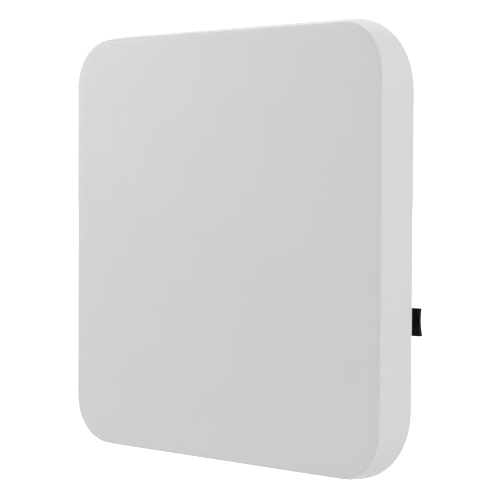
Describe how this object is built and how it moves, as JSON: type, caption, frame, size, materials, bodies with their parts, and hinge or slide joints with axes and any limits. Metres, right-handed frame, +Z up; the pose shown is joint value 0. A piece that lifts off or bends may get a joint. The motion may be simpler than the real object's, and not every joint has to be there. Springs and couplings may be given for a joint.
{
  "type": "ceiling access point",
  "caption": "Rounded-square ceiling access point: white moulded cover on a finned grey chassis that hangs by studs on a black latching bracket.",
  "frame": {"origin": "middle of the bracket's four wall screws, on the wall or ceiling plane", "axes": "+Y into the wall or ceiling, -Y out of the cover's face, +Z up as the unit hangs in its keyholes, +X right when facing the cover"},
  "size_m": [0.2, 0.0386, 0.2],
  "materials": {
    "cover_plastic": "fine matte moulded polycarbonate, neutral white",
    "chassis_paint": "light grey powder coat, fine orange peel",
    "housing_plastic": "dark grey moulded plastic, fine spark texture",
    "bracket_plastic": "black moulded nylon, light spark texture",
    "latch_plastic": "black moulded acetal, satin",
    "stud_steel": "bright zinc plate",
    "screw_steel": "turned, zinc plated",
    "spring_steel": "drawn wire",
    "keeper_steel": "pressed strip, zinc plated",
    "gasket_rubber": "closed-cell foam",
    "board_mask": "solder mask on glass fibre",
    "shield_tin": "tinned sheet",
    "pad_silicone": "soft silicone",
    "antenna_tin": "stamped bronze sheet",
    "plate_aluminium": "rolled sheet",
    "lead_jacket": "fluoropolymer jacket",
    "plug_gold": "gold flash",
    "jack_shell": "nickel-plated shell",
    "jack_black": "black moulding",
    "chip_black": "epoxy package",
    "capacitor_can": "drawn can",
    "light_clear": "clear acrylic",
    "label_film": "blank polyester label",
    "button_plastic": "grey acetal"
  },
  "bodies": {
    "bracket": {"mounting_bracket": "bracket_plastic", "latch_keeper": "keeper_steel", "keeper_screws": "screw_steel", "latch_spring": "spring_steel"},
    "unit": {"front_cover": "cover_plastic", "light_pipe": "light_clear", "status_light": "light_clear", "seal_gasket": "gasket_rubber", "rear_chassis": "chassis_paint", "port_housing": "housing_plastic", "lock_plate": "keeper_steel", "label_plate": "label_film", "cover_screws": "screw_steel", "mounting_studs": "stud_steel", "main_board": "board_mask", "shield_processor": "shield_tin", "shield_radio_low": "shield_tin", "shield_radio_high": "shield_tin", "thermal_pads": "pad_silicone", "lan_jack_1": "jack_shell", "lan_jack_2": "jack_shell", "console_jack": "jack_shell", "power_jack": "jack_black", "reset_switch": "chip_black", "lan_transformers": "chip_black", "power_inductors": "chip_black", "memory_chips": "chip_black", "capacitors": "capacitor_can", "plate_standoffs": "plug_gold", "plate_screws": "screw_steel", "board_screws": "screw_steel", "antenna_plate": "plate_aluminium", "lead_plugs": "plug_gold", "antenna_low_1": "antenna_tin", "antenna_high_1": "antenna_tin", "lead_low_1": "lead_jacket", "lead_high_1": "lead_jacket", "antenna_low_2": "antenna_tin", "antenna_high_2": "antenna_tin", "lead_low_2": "lead_jacket", "lead_high_2": "lead_jacket", "antenna_low_3": "antenna_tin", "antenna_high_3": "antenna_tin", "lead_low_3": "lead_jacket", "lead_high_3": "lead_jacket", "antenna_low_4": "antenna_tin", "antenna_high_4": "antenna_tin", "lead_low_4": "lead_jacket", "lead_high_4": "lead_jacket"},
    "latch": {"latch_slider": "latch_plastic"},
    "reset": {"reset_button": "button_plastic"}
  },
  "joints": [
    {"name": "unit_slide", "type": "slide", "parent": "bracket", "child": "unit", "axis": [0, 0, 1], "range_m": [0, 0.012]},
    {"name": "latch_slide", "type": "slide", "parent": "bracket", "child": "latch", "axis": [1, 0, 0], "range_m": [-0.003, 0], "stiffness_N_per_m": 200, "springref_m": 0.002, "deforming": ["latch_spring"]},
    {"name": "reset_press", "type": "slide", "parent": "unit", "child": "reset", "axis": [0, 0, 1], "range_m": [0, 0.0005], "stiffness_N_per_m": 800, "springref_m": -0.0005}
  ],
  "couplings": [
    {"joint": "latch_slide", "follows": "unit_slide", "ratio": -0.25}
  ]
}
